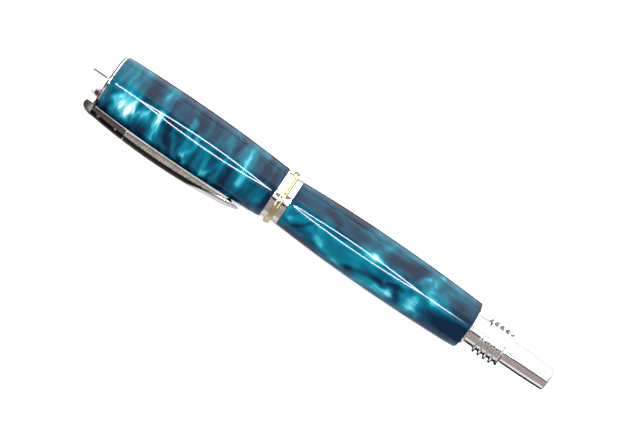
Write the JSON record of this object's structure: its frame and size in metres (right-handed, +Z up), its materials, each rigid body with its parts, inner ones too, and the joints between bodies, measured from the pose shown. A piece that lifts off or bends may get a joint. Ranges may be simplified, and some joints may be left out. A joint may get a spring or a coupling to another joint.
{
  "type": "fountain pen",
  "caption": "Fountain pen with a swelling resin body, screw cap with a sprung clip, threaded tail stub with a smooth rod, nib unit and piston converter inside.",
  "frame": {"origin": "middle of the pen's footprint on the table that it lies on", "axes": "+X along the pen from the finial to the tail, +Z up, -Y the side where the clip touches the table"},
  "size_m": [0.1378, 0.0172, 0.0159],
  "materials": {
    "chrome": "mirror-polished chrome plating",
    "gold": "polished gold plating",
    "resin": "polished pearl resin, dark teal with pale swirls",
    "brass": "plain turned brass",
    "black": "polished black resin",
    "matte_black": "moulded black plastic",
    "clear": "clear moulded plastic",
    "liner": "moulded white plastic liner",
    "nib_gold": "gold-plated nib",
    "steel": "bright steel"
  },
  "bodies": {
    "section": {"section_collar": "chrome", "section_grip": "black", "section_lip_ring": "chrome", "nib_housing": "matte_black", "feed": "matte_black", "nib": "nib_gold", "nib_tipping": "steel", "converter_tube": "clear", "converter_band": "chrome"},
    "inner_cap": {"inner_cap": "liner"},
    "cap_tube": {"cap_tube": "brass"},
    "cap": {"cap_shell": "resin", "cap_coupler": "chrome", "cap_trim_ring": "gold", "cap_bush": "brass", "finial": "chrome", "clip_ring": "chrome", "clip_channel": "chrome", "clip_rivets": "chrome", "clip_spring": "steel"},
    "clip": {"clip_blade": "chrome"},
    "barrel_end_bush": {"barrel_end_bush": "brass"},
    "barrel_tube": {"barrel_tube": "brass"},
    "barrel": {"barrel_shell": "resin", "barrel_coupler": "chrome", "posting_stub": "chrome", "tail_washer": "chrome", "tail_rod": "chrome"},
    "knob": {"converter_knob": "matte_black", "converter_screw": "steel"},
    "piston": {"converter_piston": "matte_black", "converter_piston_rod": "clear"}
  },
  "joints": [
    {"name": "cap_pull", "type": "slide", "parent": "section", "child": "inner_cap", "axis": [-1, 0, 0], "range_m": [0, 0.06]},
    {"name": "cap_lift", "type": "slide", "parent": "inner_cap", "child": "cap_tube", "axis": [-1, 0, 0], "range_m": [0, 0.00413]},
    {"name": "cap_turn", "type": "hinge", "parent": "cap_tube", "child": "cap", "pos_m": [-0.0311, 0.00064, 0.00797], "axis": [-1, 0, 0], "range_deg": [0, 450]},
    {"name": "clip_flex", "type": "hinge", "parent": "cap", "child": "clip", "pos_m": [-0.0555, -0.00673, 0.00198], "axis": [0, 0.6306, -0.7761], "range_deg": [0, 4], "stiffness_Nm_per_rad": 2, "springref_deg": -2.86},
    {"name": "barrel_pull", "type": "slide", "parent": "section", "child": "barrel_end_bush", "axis": [1, 0, 0], "range_m": [0, 0.065]},
    {"name": "barrel_lift", "type": "slide", "parent": "barrel_end_bush", "child": "barrel_tube", "axis": [1, 0, 0], "range_m": [0, 0.0045]},
    {"name": "barrel_turn", "type": "hinge", "parent": "barrel_tube", "child": "barrel", "pos_m": [0.0089, 0.00064, 0.00797], "axis": [1, 0, 0], "range_deg": [0, 1800]},
    {"name": "knob_turn", "type": "hinge", "parent": "section", "child": "knob", "pos_m": [0.0279, 0.00064, 0.00797], "axis": [-1, 0, 0], "range_deg": [0, 2160]},
    {"name": "piston_travel", "type": "slide", "parent": "section", "child": "piston", "axis": [1, 0, 0], "range_m": [0, 0.015]}
  ],
  "couplings": [
    {"joint": "cap_turn", "follows": "cap_lift", "rad_per_m": 1904},
    {"joint": "barrel_turn", "follows": "barrel_lift", "rad_per_m": 6981.3},
    {"joint": "knob_turn", "follows": "piston_travel", "rad_per_m": 2513.3}
  ]
}
